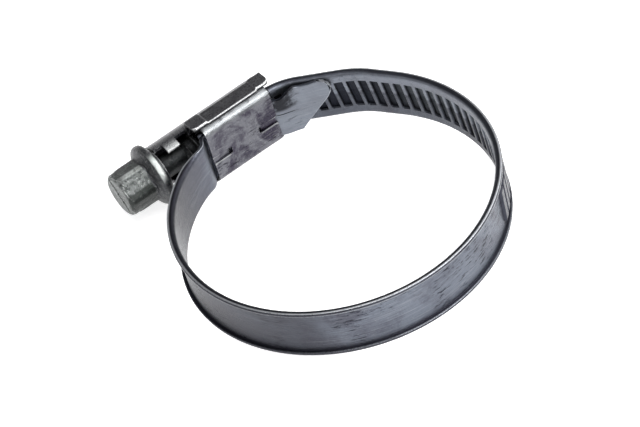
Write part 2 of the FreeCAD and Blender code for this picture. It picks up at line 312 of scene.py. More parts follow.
def step_turns(x, y, heading, bends, ring_r):
    """Turns that bend a path inwards and back onto the circle ring_r, and where it lands."""
    bend_r, back_r = bends
    left = math.radians(heading + 90)
    first_x, first_y = x - bend_r * math.cos(left), y - bend_r * math.sin(left)
    reach = bend_r + back_r
    away = math.hypot(first_x, first_y)
    along = math.degrees(math.atan2(first_y, first_x))
    cosine = ((ring_r + back_r) ** 2 - away ** 2 - reach ** 2) / (2 * reach * away)
    towards = along - math.degrees(math.acos(cosine))
    second_x = first_x + reach * math.cos(math.radians(towards))
    second_y = first_y + reach * math.sin(math.radians(towards))
    landing = math.degrees(math.atan2(second_y, second_x))
    down = towards - 90 - heading
    return down, landing - 90 - heading - down, landing


def step_down(path, bends, ring_r):
    down, back, landing = step_turns(path.x, path.y, path.heading, bends, ring_r)
    path.arc(bends[0], down)
    path.arc(bends[1], back)
    return landing


def band_path():
    """From inside the housing clockwise round the ring, back through, to the tongue's tip."""
    path = Path(TAIL_X[1], TAIL_Y, 0)
    path.line(MOUTH_X - TAIL_X[1])
    over = step_down(path, MOUTH_BENDS, OVER_TONGUE_R)
    path.arc(OVER_TONGUE_R, TONGUE_TIP_DEG - over)
    on_ring = step_down(path, LANDING_BENDS, RING_R)
    down, back, landing = step_turns(-PLATE_X[0] - 0.1, PLATE_TOP, 0, LEAF_BENDS, RING_R)
    path.arc(RING_R, -180 - on_ring)
    path.arc(RING_R, -landing)
    marks = {"left_landing": path.length}
    path.arc(LEAF_BENDS[1], back)
    path.arc(LEAF_BENDS[0], down)
    marks["left_plate"] = path.length
    path.line(PLATE_X[1] - PLATE_X[0] - 0.2)
    marks["right_plate"] = path.length
    landing = step_down(path, FIXED_BENDS, RING_R)
    path.arc(RING_R, TONGUE_TIP_DEG - landing)
    return path, marks


# ---------------------------------------------------------------- the band's section

FLAT_Z = [0.0, 0.9, 1.8, 2.2, 2.4, 2.5, 2.6, 2.7, 2.8, 3.0, 3.3, 3.6, FLAT_HALF]
RIM_STEPS = 7


def half_profile(rim):
    """Inner face, edge and outer face of one half as (out, z, side), rim from 0 to 1."""
    points = [(0.0, z, 0) for z in FLAT_Z]
    for k in range(1, RIM_STEPS + 1):
        angle = math.pi / 2 * k / RIM_STEPS
        bent = (RIM_BEND_R * (1 - math.cos(angle)), FLAT_HALF + RIM_BEND_R * math.sin(angle))
        flat = (0.0, FLAT_HALF + (HALF_W - 0.08 - FLAT_HALF) * k / RIM_STEPS)
        points.append((lerp(flat[0], bent[0], rim), lerp(flat[1], bent[1], rim), 0))
    edge = HALF_W - BAND_T
    tips = [((RIM_H - 0.24, HALF_W), (0.04, HALF_W - 0.03))]
    for k in range(1, 5):
        a = math.radians(22.5 * k)
        bent = (RIM_H - 0.24 + 0.24 * math.sin(a), HALF_W - 0.24 + 0.24 * math.cos(a))
        tips.append((bent, (0.04 + 0.11 * k, HALF_W - 0.01 * abs(2 - k))))
    tips.append(((RIM_H, edge + 0.1), (0.52, HALF_W - 0.03)))
    tips.append(((RIM_H - 0.1, edge), (0.57, HALF_W - 0.05)))
    for bent, flat in tips:
        points.append((lerp(flat[0], bent[0], rim), lerp(flat[1], bent[1], rim), 1))
    inner_r = RIM_BEND_R - BAND_T
    for k in range(3, -1, -1):
        angle = math.pi / 2 * k / 3
        bent = (RIM_BEND_R - inner_r * math.cos(angle), FLAT_HALF + inner_r * math.sin(angle))
        flat = (BAND_T, FLAT_HALF + (HALF_W - 0.08 - FLAT_HALF) * k / 3)
        points.append((lerp(flat[0], bent[0], rim), lerp(flat[1], bent[1], rim), 2))
    points += [(BAND_T, z, 2) for z in reversed(FLAT_Z[:-1])]
    return points


def full_profile(rim):
    upper = half_profile(rim)
    lower = [(out, -z, side) for out, z, side in reversed(upper[1:-1])]
    return upper + lower


def embossing(side, along, z):
    """How far the pressed thread moves the sheet outwards, along being from a rib's middle."""
    half = POCKET_HALF if side == 0 else RIB_HALF
    wall = 0.18 if side == 0 else 0.26
    end = POCKET_LEN / 2 + (0 if side == 0 else 0.08)
    across = smooth((half + wall / 2 - abs(along)) / wall)
    ends = smooth((end + wall / 2 - abs(z)) / wall)
    return RIB_H * across * ends


HALF_OFFSETS = (0.25, 0.5, 0.59, 0.66, 0.73, 0.8, 0.88)
RIB_OFFSETS = [-offset for offset in reversed(HALF_OFFSETS)] + [0, *HALF_OFFSETS, 1.0]

TIP_OUT = RIM_H - 0.12       # the painted highlight line on the turned-out edge ends this far out
UPPER_EDGE = 0.6             # the painted rim shade (turned_edge) is full on the lower edge and this strong on the upper one
LOWER_HALF = 0.5             # inside is 1 on the inner face's upper half and this below; the band's painted light and painted shade follow these halves


def rim_shade(side, out, z):
    """Where painted shade darkens the turned-out edge: a line at its crest on each side of its tip."""
    if side == 1:
        return 0.0 if out < TIP_OUT else 1.0
    start = FLAT_HALF + (0.4 if side == 0 else -0.1)
    return smooth((abs(z) - start) / 0.25)


def strip(name, path, stations, ribs, rim_at, slant_at, shape_at):
    """The band as a closed mesh: one ring of section points at each station.
    shape_at(s, z) gives the place along the path and the height of a point."""
    points, uvs, count = [], [], 0
    values = {key: [] for key in ("recess", "turned_edge", "pressed", "inside", "tip_highlight")}
    for s in stations:
        profile = full_profile(rim_at(s))
        count = len(profile)
        rib = min(ribs, key=lambda r: abs(r - s), default=1e9)
        girth = 0.0
        last = profile[0]
        for out, z, side in profile:
            along, height = shape_at(s - SLANT * slant_at(s) * z, z)
            x, y, heading = path.at(along)
            press = 0.0
            if side != 1 and abs(s - rib) < PITCH:
                press = embossing(side, s - rib, z)
            out = out + press
            left = math.radians(heading + 90)
            points.append((x + out * math.cos(left), y + out * math.sin(left), height))
            girth += math.hypot(out - last[0], z - last[1])
            last = (out, z)
            uvs.append((along * 0.01, girth * 0.01))
            on_rib = abs(s - rib) < PITCH / 2 and abs(z) < FLAT_HALF - 0.2
            # at_tip and shade place the rim's painted highlight line and its painted shade
            at_tip = side == 1 and z > 0 and out < TIP_OUT
            shade = rim_shade(side, out, z) * (UPPER_EDGE if z > 0 else 1)
            values["recess"].append(press / RIB_H if side == 0 else 0.0)
            values["pressed"].append(1.0 if on_rib else 0.0)
            values["inside"].append((1.0 if z > 0 else LOWER_HALF) if side == 0 else 0.0)
            values["turned_edge"].append(rim_at(s) * shade)
            values["tip_highlight"].append(rim_at(s) if at_tip else 0.0)
    faces = []
    for i in range(len(stations) - 1):
        for j in range(count):
            k = (j + 1) % count
            faces.append((i * count + j, (i + 1) * count + j, (i + 1) * count + k, i * count + k))
    faces.append(tuple(range(count)))
    last_ring = (len(stations) - 1) * count
    faces.append(tuple(last_ring + j for j in reversed(range(count))))
    return new_mesh(name, points, faces, 50, uvs, values)


def rib_stations(ribs):
    return [r + offset for r in ribs for offset in RIB_OFFSETS]


TONGUE_HIDDEN = 3.3          # how much of the tongue's root lies under the saddle
TONGUE_TRIM = 0.7            # the mesh's tongue is this much shorter than the CAD's


def band_ring():
    """The ring, the fixed end inside the housing and the tongue: one strip."""
    path, marks = band_path()
    ribs = [PITCH * (k + 0.5) for k in range(LOOP_RIBS)]
    threaded = ribs[-1] + PITCH / 2
    fade_to = threaded + 8.0
    flat_from, flat_to = marks["left_landing"] - 5.0, marks["left_plate"] - 1.2
    stations = [0.0] + rib_stations(ribs)
    stations += even(threaded, flat_from, 0.9)[1:]
    stations += even(flat_from, marks["left_plate"], 0.25)[1:]
    stations += even(marks["left_plate"], marks["right_plate"], 1.0)[1:]
    stations += even(marks["right_plate"], path.length, 0.25)[1:]
    tongue_from = marks["right_plate"] + 1.2
    length = path.length - tongue_from
    nose_back, nose_z = TONGUE_NOSE
    tip_z = HALF_W - TONGUE_TIP_R

    def tip(z):
        """Length of the tongue at height z: slanted nose, oblique below, round top corner."""
        reach = length - TONGUE_TRIM
        if z > tip_z:
            return reach - TONGUE_TIP_R + math.sqrt(max(0, TONGUE_TIP_R ** 2 - (z - tip_z) ** 2))
        if z > nose_z:
            return reach - nose_back * (tip_z - z) / (tip_z - nose_z)
        return reach - nose_back - (nose_z - z)

    def shape_at(s, z):
        if s <= tongue_from:
            return s, z
        along = tongue_from + (s - tongue_from) * tip(z) / length
        if z > 0:
            # the upper edge is pinched in next to the housing and waves up to full width
            reach = along - marks["right_plate"] - TONGUE_HIDDEN
            pinch = 1.6 * smooth((reach + 1.4) / 1.4) * (1 - smooth((reach - 1.2) / 3.4))
            pinch += 0.25 * smooth((reach - 4.0) / 1.5) * (1 - smooth((reach - 6.0) / 2.5))
            z = z * (HALF_W - pinch) / HALF_W
        return along, z

    def rim_at(s):
        return 1 - smooth((s - flat_from) / (flat_to - flat_from))

    def slant_at(s):
        return 1 - smooth((s - threaded) / (fade_to - threaded))

    return strip("band_ring", path, stations, ribs, rim_at, slant_at, shape_at)


def band_tail():
    """The loose end with its thread, straight, inside the housing."""
    path = Path(TAIL_X[0], TAIL_Y, 0)
    length = TAIL_X[1] - TAIL_X[0]
    path.line(length)
    ribs = [length - PITCH * (k + 0.5) for k in range(6)][::-1]
    stations = [0.0] + [s for s in rib_stations(ribs) if 0.05 < s <= length]
    slant_from = max(0.1, ribs[0] - PITCH / 2)

    def slant_at(s):
        return smooth(s / slant_from)

    return strip("band_tail_strip", path, stations, ribs, lambda s: 1.0, slant_at, lambda s, z: (s, z))


# ---------------------------------------------------------------- saddle plate

def near(values, step):
    """Each value with a close neighbour on both sides, for a steep wall there."""
    return [v + side * step for v in values for side in (-1, 1)]


def saddle_plate():
    outer_r, inner_r = PLATE_BENDS
    lance_z = (LANCE_Z - LANCE_HALF, LANCE_Z + LANCE_HALF)
    flat_z = sorted(even(-4.2, 4.2, 0.6) + near(lance_z, 0.03))
    outer_flat = [(PLATE_Y, z) for z in flat_z]
    inner_flat = [(PLATE_TOP, z) for z in flat_z]

    def half(y_face, r, z_face):
        """One wall and bend, from the wall's top to the flat, for z above 0."""
        bend = arc_points(y_face + r, z_face - r, r, 0, -90, 9)
        return [(y, z_face) for y in (WALL_TOP_Y, WALL_TOP_Y - 0.4, 27.6, 26.9)] + bend

    outer_half = half(PLATE_Y, outer_r, PLATE_HALF_W)
    inner_half = half(PLATE_TOP, inner_r, PLATE_HALF_W - PLATE_T)

    def section(half_points, flat):
        lower = [(y, -z) for y, z in half_points]
        return lower + flat + half_points[::-1]

    outer_yz, inner_yz = section(outer_half, outer_flat), section(inner_half, inner_flat)
    first_flat = len(outer_half)
    left_end, right_end = PLATE_X[0] + LANCE_LENGTH, PLATE_X[1] - LANCE_LENGTH
    stations = sorted(
        even(PLATE_X[0], PLATE_X[1], 0.45)
        + near((left_end, right_end), 0.02)
        + [left_end + LANCE_SLIT, right_end - LANCE_SLIT]
    )

    def sunk(x, z):
        """Depth of a lance at a point of the inner face."""
        if not lance_z[0] < z < lance_z[1]:
            return 0.0
        if x < left_end:
            return lerp(0.2, LANCE_DEPTH + 0.1, (x - PLATE_X[0]) / LANCE_LENGTH)
        if x > right_end:
            return lerp(0.2, LANCE_DEPTH + 0.1, (PLATE_X[1] - x) / LANCE_LENGTH)
        return 0.0

    rows = []
    for x in stations:
        outer = [(x, y + (sunk(x, z) if y == PLATE_Y else 0), z) for y, z in outer_yz]
        rows.append((outer, [(x, y, z) for y, z in inner_yz]))

    def active(k, i):
        x = (stations[k] + stations[k + 1]) / 2
        if not first_flat <= i < first_flat + len(flat_z) - 1:
            return True
        z = (flat_z[i - first_flat] + flat_z[i - first_flat + 1]) / 2
        in_slit = left_end < x < left_end + LANCE_SLIT or right_end - LANCE_SLIT < x < right_end
        return not (in_slit and lance_z[0] < z < lance_z[1])

    return thick_sheet("saddle", rows, active, 0.07)


# ---------------------------------------------------------------- housing shell

def housing_shell():
    fillet = 0.5
    corner = 0.55
    drop = AXIS_Y - SHELF_TOP - fillet
    fillet_z = math.sqrt((DOME_R + fillet) ** 2 - drop ** 2)
    seat = math.degrees(math.asin(-drop / (DOME_R + fillet)))
    inner_r = DOME_R - SHELL_T
    inner_z = PLATE_HALF_W + SLIDE_GAP
    under = SHELF_TOP - SHELL_T
    hem = 0.32
    hem_n, corner_n, shelf_n, fillet_n, dome_n = 5, 5, 4, 6, 15
    side_n = hem_n + 7

    def skirt_half(x):
        """Outer and inner points from the skirt's lower edge up to the dome's top."""
        low = SKIRT_LOW
        for end in SKIRT_X:
            inside = SKIRT_CORNER_R - abs(x - end)
            if inside > 0:
                low += SKIRT_CORNER_R - math.sqrt(max(0, SKIRT_CORNER_R ** 2 - inside ** 2))
        press = smooth((x - PRESS_X[0] + 0.2) / 0.4) * smooth((PRESS_X[1] + 0.2 - x) / 0.4)
        low = lerp(low, PRESS_LOW, press)
        z_out = SKIRT_HALF_W - PRESS_DEPTH * press
        outer, inner = [], []
        outer += arc_points(low + hem, z_out - hem, hem, -90, 0, hem_n)
        inner += [(low + 0.06 * k, inner_z) for k in range(hem_n)]
        for t in (0.1, 0.2, 0.35, 0.5, 0.65, 0.8, 0.92):
            outer.append((lerp(low + hem, SHELF_TOP - corner, t), z_out))
            inner.append((lerp(low + hem, under - 0.1, t), inner_z))
        outer += arc_points(SHELF_TOP - corner, z_out - corner, corner, 0, 90, corner_n)
        inner += arc_points(under - 0.1, inner_z - 0.1, 0.1, 0, 90, corner_n)
        for k in range(1, shelf_n + 1):
            t = k / shelf_n
            outer.append((SHELF_TOP, lerp(z_out - corner, fillet_z, t)))
            inner.append((under, lerp(inner_z - 0.1, inner_r + 0.15, t)))
        for k in range(1, fillet_n + 1):
            a = math.radians(lerp(0, 90 - seat, k / fillet_n))
            outer.append((SHELF_TOP + fillet - fillet * math.cos(a), fillet_z - fillet * math.sin(a)))
            narrowing = 0.15 * (1 - smooth(2 * k / fillet_n))
            inner.append((lerp(under, AXIS_Y, smooth(k / fillet_n)), inner_r + narrowing))
        for k in range(1, dome_n + 1):
            angle = lerp(seat, 90, k / dome_n)
            outer += arc_points(AXIS_Y, 0, DOME_R, angle, angle, 2)[:1]
            inner += arc_points(AXIS_Y, 0, inner_r, lerp(0, 90, k / dome_n), 0, 2)[:1]
        return outer, inner

    first_fillet = side_n + corner_n + shelf_n
    count = first_fillet + fillet_n + dome_n

    def tube_half(outer_radius, inner_radius):
        """The same points on a plain tube, the skirt's wrapped round for the tab."""
        outer, inner = [], []
        for i in range(count):
            if i < first_fillet - 1:
                angle = -TAB_WRAP * (1 - i / (first_fillet - 1))
            elif i < first_fillet + fillet_n:
                angle = seat * (i - first_fillet + 1) / fillet_n
            else:
                angle = lerp(seat, 90, (i - first_fillet - fillet_n + 1) / dome_n)
            outer += arc_points(AXIS_Y, 0, outer_radius, angle, angle, 2)[:1]
            inner += arc_points(AXIS_Y, 0, inner_radius, angle, angle, 2)[:1]
        return outer, inner

    def whole(x_out, x_in, halves):
        outer, inner = halves
        full = []
        for x, half in ((x_out, outer), (x_in, inner)):
            near_side = [(x, y, z) for y, z in half]
            far_side = [(x, y, -z) for y, z in half[-2::-1]]
            full.append(near_side + far_side)
        return full

    front = sorted(
        [DOME_X[0], DOME_X[0] + 0.35, TAB_X[0] - 0.4, TAB_X[0], TAB_X[0] + 0.3]
        + [TAB_X[1] - 0.3, TAB_X[1], TAB_X[1] + 0.4, SKIRT_X[0] - 0.5, SKIRT_X[0] - 0.12]
        + [-13.4, -11.4, -9.2]
    )
    ends = [0, 0.03, 0.1, 0.2, 0.33, 0.5, 0.65, 0.8]
    skirt = [SKIRT_X[0] + e for e in ends] + even(-7.0, PRESS_X[0] - 0.3, 0.4)
    skirt += even(PRESS_X[0] - 0.2, PRESS_X[0] + 0.2, 0.08) + even(-4.9, PRESS_X[1] - 0.4, 0.6)
    skirt += even(PRESS_X[1] - 0.2, PRESS_X[1] + 0.2, 0.08) + even(4.8, 5.8, 0.4)
    skirt += [SKIRT_X[1] - e for e in reversed(ends)]
    rows = [whole(x, x, tube_half(DOME_R, inner_r)) for x in front]
    rows += [whole(x, x, skirt_half(x)) for x in skirt]
    last_skirt = len(rows) - 1
    # the dome closes behind the worm: over a rounded edge and in to the pilot
    edge_r = 0.3
    inside_x = DOME_X[1] - SHELL_T
    for k in range(4):
        a = math.pi / 2 * k / 3
        x = DOME_X[1] - edge_r + edge_r * math.sin(a)
        halves = tube_half(DOME_R - edge_r * (1 - math.cos(a)), inner_r)
        rows.append(whole(x, inside_x - 0.02 + 0.005 * k, halves))
    for radius in (3.2, 2.5, PILOT_R + SLIDE_GAP):
        rows.append(whole(DOME_X[1], inside_x, tube_half(radius, radius - 0.001)))
    x_of = front + skirt

    def active(k, i):
        mirrored = min(i, 2 * (count - 1) - 1 - i)
        if mirrored >= first_fillet - 1:
            return True
        if k >= last_skirt:
            return False
        x = (x_of[k] + x_of[k + 1]) / 2
        return TAB_X[0] < x < TAB_X[1] or x > SKIRT_X[0]

    return thick_sheet("housing", rows, active, 0.09)


# ---------------------------------------------------------------- worm screw

SIDE_ANGLES = [-30, -28.5, -27, -25.5, -24, -18, -9, 0, 9, 18, 24, 25.5, 27, 28.5]


def turned(name, rows, angles, smooth_deg):
    """A closed solid about the screw's axis; rows are (x, radius at each angle)."""
    points, faces = [], []
    count = len(angles)
    for x, radii in rows:
        for angle, radius in zip(angles, radii):
            a = math.radians(angle)
            points.append((x, AXIS_Y + radius * math.cos(a), radius * math.sin(a)))
    for i in range(len(rows) - 1):
        for j in range(count):
            k = (j + 1) % count
            faces.append((i * count + j, i * count + k, (i + 1) * count + k, (i + 1) * count + j))
    for ring, x in ((0, rows[0][0]), (len(rows) - 1, rows[-1][0])):
        centre = len(points)
        points.append((x, AXIS_Y, 0))
        for j in range(count):
            k = (j + 1) % count
            edge = (ring * count + k, ring * count + j)
            faces.append((centre, *edge) if ring == 0 else (centre, *reversed(edge)))
    return new_mesh(name, points, faces, smooth_deg)


def worm_screw():
    corner = 90 - HEX_TURN
    angles = [corner + 30 + 60 * side + offset for side in range(6) for offset in SIDE_ANGLES]
    hexagon = [
        min(HEX_CORNER_R, HEX_AF / 2 / math.cos(math.radians(offset)))
        for _ in range(6) for offset in SIDE_ANGLES
    ]

    def level(radius):
        return [radius] * len(angles)

    def within(limit):
        return [min(r, limit) for r in hexagon]

    def outside(radius):
        return [max(r, radius) for r in hexagon]

    start, end = HEX_X
    # the head: a chamfered face, the hexagon, then a fillet up to the flange
    rows = [(start + dx, level(r)) for dx, r in ((0, 1.2), (0, 2.4), (0, 3.12), (0.03, 3.24))]
    chamfer = ((0.1, 3.36), (0.25, 3.5), (0.42, 3.66), (0.6, 3.82))
    rows += [(start + dx, within(limit)) for dx, limit in chamfer]
    rows += [(start + 0.75, hexagon), (start + 1.4, hexagon)]
    rows += [(x, hexagon) for x in even(start + 2.2, end - 0.7, 0.7)]
    rows += [(end - dx, outside(r)) for dx, r in ((0.35, 3.53), (0.15, 3.66), (0, 3.86))]
    flange = ((0.12, 4.1), (0.3, 4.45), (0.5, 4.8), (0.68, 5.08), (0.88, 5.24), (1.1, FLANGE_R))
    rows += [(end + dx, level(r)) for dx, r in flange]
    rear = ((0.45, FLANGE_R), (0.22, 5.22), (0.07, 5.08), (0, 4.88), (0, 4.1))
    rows += [(FLANGE_END - dx, level(r)) for dx, r in rear]
    rows.append((FLANGE_END + 0.08, level(BEAD_R)))
    bead = ((-0.2, BEAD_R), (-0.06, 3.82), (0, 3.65), (0, 2.2), (0.15, NECK_R))
    rows += [(BEAD_END + dx, level(r)) for dx, r in bead]
    rows += [(-12.0, level(NECK_R)), (WORM_X[0] - 0.2, level(NECK_R))]

    phase_x = TAIL_X[1] - PITCH / 2
    for x in even(WORM_X[0], WORM_X[1], 0.1):
        ends = smooth((x - WORM_X[0]) / 0.5) * smooth((WORM_X[1] - x) / 0.4)
        radii = []
        for angle in angles:
            turn = ((x - phase_x) / PITCH - angle / 360) % 1
            away = min(turn, 1 - turn) * PITCH
            tooth = smooth((0.5 - away) / 0.28)
            radii.append(WORM_ROOT_R + (WORM_TIP_R - WORM_ROOT_R) * tooth * ends)
        rows.append((x, radii))
    rows += [(WORM_X[1] + 0.05, level(PILOT_R + 0.1)), (WORM_X[1] + 0.15, level(PILOT_R))]
    rows += [(PILOT_END - 0.3, level(PILOT_R)), (PILOT_END - 0.1, level(PILOT_R - 0.1))]
    rows += [(PILOT_END, level(PILOT_R - 0.3)), (PILOT_END, level(0.8))]
    screw = turned("screw", rows, angles, 32)
    cut_slot(screw)
    return screw


def cut_slot(screw):
    """Saw the slot across the head, corner to corner, with its mouth's edges eased."""
    x = HEX_X[0]
    ease = 0.1
    deep = x + SLOT_DEPTH
    outline = [
        (x - 1, SLOT_W / 2 + ease), (x - 0.001, SLOT_W / 2 + ease), (x + ease, SLOT_W / 2),
        (deep - ease, SLOT_W / 2), (deep, SLOT_W / 2 - ease),
    ]
    outline += [(px, -across) for px, across in reversed(outline)]
    along = math.radians(90 - HEX_TURN)
    points = []
    for end in (-HEX_AF, HEX_AF):
        for px, across in outline:
            y = AXIS_Y + end * math.cos(along) - across * math.sin(along)
            z = end * math.sin(along) + across * math.cos(along)
            points.append((px, y, z))
    count = len(outline)
    faces = [(j, (j + 1) % count, count + (j + 1) % count, count + j) for j in range(count)]
    faces += [tuple(reversed(range(count))), tuple(range(count, 2 * count))]
    tool = bpy.data.meshes.new("slot_tool")
    tool.from_pydata([tuple(c * MM for c in p) for p in points], [], faces)
    work = bmesh.new()
    work.from_mesh(tool)
    bmesh.ops.recalc_face_normals(work, faces=work.faces[:])
    work.to_mesh(tool)
    work.free()
    cutter = bpy.data.objects.new("slot_tool", tool)
    bpy.context.scene.collection.objects.link(cutter)
    saw = screw.modifiers.new("slot", "BOOLEAN")
    saw.operation = "DIFFERENCE"
    saw.solver = "EXACT"
    saw.object = cutter
    bpy.context.view_layer.update()
    shaped = screw.evaluated_get(bpy.context.evaluated_depsgraph_get())
    mesh = bpy.data.meshes.new_from_object(shaped)
    screw.modifiers.clear()
    screw.data = mesh
    bpy.data.objects.remove(cutter)
    mesh.shade_smooth()
    mesh.set_sharp_from_angle(angle=math.radians(32))
    mesh.attributes["relief"].data.foreach_set("value", relief(mesh).astype(np.float32))


# ---------------------------------------------------------------- materials

BUMP_DEPTH = 0.12 * MM


class Steel:
    """Builds one procedural metal: mottling, grain, rolling streaks, scratches and wear."""

    def __init__(self, name, uv):
        self.material = bpy.data.materials.new(name)
        self.material.use_nodes = True
        self.tree = self.material.node_tree
        self.shader = self.tree.nodes["Principled BSDF"]
        coords = self.node("TexCoord").outputs["UV" if uv else "Object"]
        # place is in millimetres: along and across the sheet, or the part's own axes
        self.place = self.mapped(coords, (100 if uv else 1000,) * 3)

    def feed(self, socket, value):
        """Link a socket to another node's output, or set it to a value."""
        if isinstance(value, bpy.types.NodeSocket):
            self.tree.links.new(value, socket)
        else:
            socket.default_value = value

    def node(self, kind, **inputs):
        node = self.tree.nodes.new("ShaderNode" + kind)
        for name, value in inputs.items():
            self.feed(node.inputs[name], value)
        return node

    def mapped(self, vector, scale, turn=0.0, shift=(0, 0, 0)):
        rotation = (0, 0, math.radians(turn))
        node = self.node("Mapping", Vector=vector, Scale=scale, Rotation=rotation, Location=shift)
        return node.outputs["Vector"]

    def noise(self, scale, detail=4.0, rough=0.55, stretch=None, turn=0.0, shift=(0, 0, 0), warp=0.0):
        vector = self.mapped(self.place, stretch or (1, 1, 1), turn, shift)
        node = self.node(
            "TexNoise", Vector=vector, Scale=scale, Detail=detail, Roughness=rough, Distortion=warp,
        )
        return node.outputs["Fac"]

    def axes(self):
        """The three coordinates of place."""
        node = self.node("SeparateXYZ", Vector=self.place)
        return node.outputs["X"], node.outputs["Y"], node.outputs["Z"]

    def ramp(self, value, low, high, start=0.0, end=1.0):
        """Map value from low..high to start..end, held at both ends."""
        limits = {"From Min": low, "From Max": high, "To Min": start, "To Max": end}
        node = self.node("MapRange", Value=value, **limits)
        node.interpolation_type = "SMOOTHSTEP"
        return node.outputs["Result"]

    def math(self, operation, a, b):
        node = self.node("Math")
        node.operation = operation
        for socket, value in zip(node.inputs, (a, b)):
            self.feed(socket, value)
        return node.outputs["Value"]

    def eased(self, value, strength):
        """A mask from 0 to 1, eased and scaled to strength."""
        return self.ramp(value, 0, 1, 0, strength)

    def all_of(self, first, *others):
        """Masks multiplied together."""
        for other in others:
            first = self.math("MULTIPLY", first, other)
        return first

    def square_off(self, a, b):
        """The squared length of (a, b)."""
        return self.math("ADD", self.math("POWER", a, 2), self.math("POWER", b, 2))

    def mix(self, factor, a, b):
        node = self.node("Mix", Factor=factor)
        node.data_type = "RGBA"
        for name, value in (("A", a), ("B", b)):
            socket = next(s for s in node.inputs if s.name == name and s.type == "RGBA")
            self.feed(socket, (*value, 1) if isinstance(value, tuple) else value)
        return next(s for s in node.outputs if s.type == "RGBA")

    def attribute(self, name):
        node = self.node("Attribute")
        node.attribute_name = name
        return node.outputs["Fac"]

    def finish(self, colour, rough, height, bump):
        node = self.node("Bump", Strength=bump, Distance=BUMP_DEPTH, Height=height)
        self.feed(self.shader.inputs["Normal"], node.outputs["Normal"])
        self.feed(self.shader.inputs["Base Color"], colour)
        self.feed(self.shader.inputs["Roughness"], rough)
        self.feed(self.shader.inputs["Metallic"], 1.0)
        return self.material


def steel(name, base, stain, bright, dark, rough, *, uv=False, blotch=0.12, spread=0.1,
          streaks=0.3, speckle=0.3, speckle_scale=3.4, scuffs=0.5, wear=0.6,
          wear_from=(0.12, 0.5), bump=0.25, seed=0.0, spared=None):
    """A worn zinc-plated steel; the last names weigh its kinds of marks, and the
    attribute named by spared says where edges are hardly worn."""
    m = Steel(name, uv)
    shift = (seed, seed * 0.7, seed * 1.3)
    mottle = m.noise(blotch, 6, 0.62, shift=shift, warp=0.8)
    colour = m.mix(m.ramp(mottle, 0.52 - spread, 0.52 + spread), base, stain)
    line = m.noise(1.0, 6, 0.68, stretch=(0.09, 4.5, 4.5), shift=shift)
    colour = m.mix(m.ramp(line, 0.5, 0.75, 0, streaks), colour, bright)
    colour = m.mix(m.ramp(line, 0.48, 0.28, 0, streaks), colour, dark)
    grain = m.noise(speckle_scale, 7, 0.75, shift=shift)
    colour = m.mix(m.ramp(grain, 0.54, 0.72, 0, speckle), colour, bright)
    colour = m.mix(m.ramp(grain, 0.46, 0.3, 0, speckle), colour, dark)
    patch = m.ramp(m.noise(0.13, 3, 0.5, shift=(seed + 7, 3, seed)), 0.48, 0.6)
    scuff = m.ramp(m.noise(1.0, 8, 0.75, stretch=(0.5, 2.4, 2.4), turn=20, shift=shift), 0.51, 0.6)
    scuff = m.math("MULTIPLY", scuff, patch)
    colour = m.mix(m.eased(scuff, scuffs), colour, dark)
    hair = m.noise(1.0, 3, 0.5, stretch=(0.12, 5.5, 5.5), turn=-7, shift=(9, seed, 4), warp=0.3)
    gate = m.ramp(m.noise(0.4, 2, 0.5, shift=(3, seed, 9)), 0.5, 0.62)
    scratch = m.math("MULTIPLY", m.ramp(hair, 0.66, 0.72), gate)
    colour = m.mix(m.eased(scratch, 0.4), colour, bright)
    shape = m.attribute("relief")
    uneven = m.noise(1.3, 4, 0.7, shift=(seed, 2, 5))
    edge = m.math("MULTIPLY", m.ramp(shape, *wear_from), m.ramp(uneven, 0.3, 0.6, 0.5, 1))
    if spared:
        edge = m.math("MULTIPLY", edge, m.ramp(m.attribute(spared), 0, 1, 1, 0.3))
    colour = m.mix(m.eased(edge, wear), colour, bright)
    # hollows and creases darker: painted shade, with some grime
    colour = m.mix(m.ramp(shape, -0.08, -0.5, 0, 0.85), colour, dark)
    finish = m.math("ADD", m.ramp(grain, 0.3, 0.7, rough - 0.08, rough + 0.1), m.eased(scuff, 0.12))
    finish = m.math("ADD", finish, m.eased(edge, -0.1))
    height = m.math("ADD", m.ramp(grain, 0.2, 0.8), m.eased(scratch, -0.6))
    height = m.math("ADD", height, m.ramp(line, 0.2, 0.8, 0, 0.5))
    return m, colour, finish, height, bump


BLACK = (0.010, 0.010, 0.012)
# the colour of the band's painted shade
PAINTED_SHADE = (0.030, 0.030, 0.036)
# pale steel of worn edges, also the colour of the housing's painted highlights
WEAR_AND_HIGHLIGHT = (0.80, 0.82, 0.81)
# the colour of the screw's painted highlights
PAINTED_HIGHLIGHT = (0.80, 0.84, 0.81)


def band_painted_light_and_shade(m, colour, along, inside):
    """Painted shade and painted light in stretches of the band; along is in millimetres from the
    housing.
    """
    # painted shade over two stretches of the band's length
    left = m.all_of(m.ramp(along, 86, 102), m.ramp(along, 143, 132))
    right = m.all_of(m.ramp(along, 34, 42), m.ramp(along, 60, 48))
    colour = m.mix(m.math("ADD", m.eased(left, 0.66), m.eased(right, 0.42)), colour, PAINTED_SHADE)
    inner_face = m.ramp(inside, 0.1, 0.4)
    upper_half = m.ramp(inside, 0.7, 0.9)
    lower_half = m.all_of(inner_face, m.ramp(inside, 0.8, 0.6))
    tongue = band_path()[1]["right_plate"] + TONGUE_HIDDEN
    # painted light on the inner face's upper half near the housing and on the tongue's inner face
    pale = m.math(
        "ADD",
        m.all_of(upper_half, m.ramp(along, 62, 40, 0, 0.35)),
        m.all_of(inner_face, m.ramp(along, tongue - 1, tongue, 0, 0.4)),
    )
    colour = m.mix(pale, colour, (0.200, 0.215, 0.240))
    # painted shade on the inner face's lower half near the housing and on the inner face further round
    # the ring
    shaded = m.math(
        "ADD",
        m.all_of(lower_half, m.ramp(along, 70, 50, 0, 0.5)),
        m.all_of(inner_face, m.ramp(along, 60, 80), m.ramp(along, 147, 136, 0, 0.8)),
    )
    return m.mix(shaded, colour, PAINTED_SHADE)


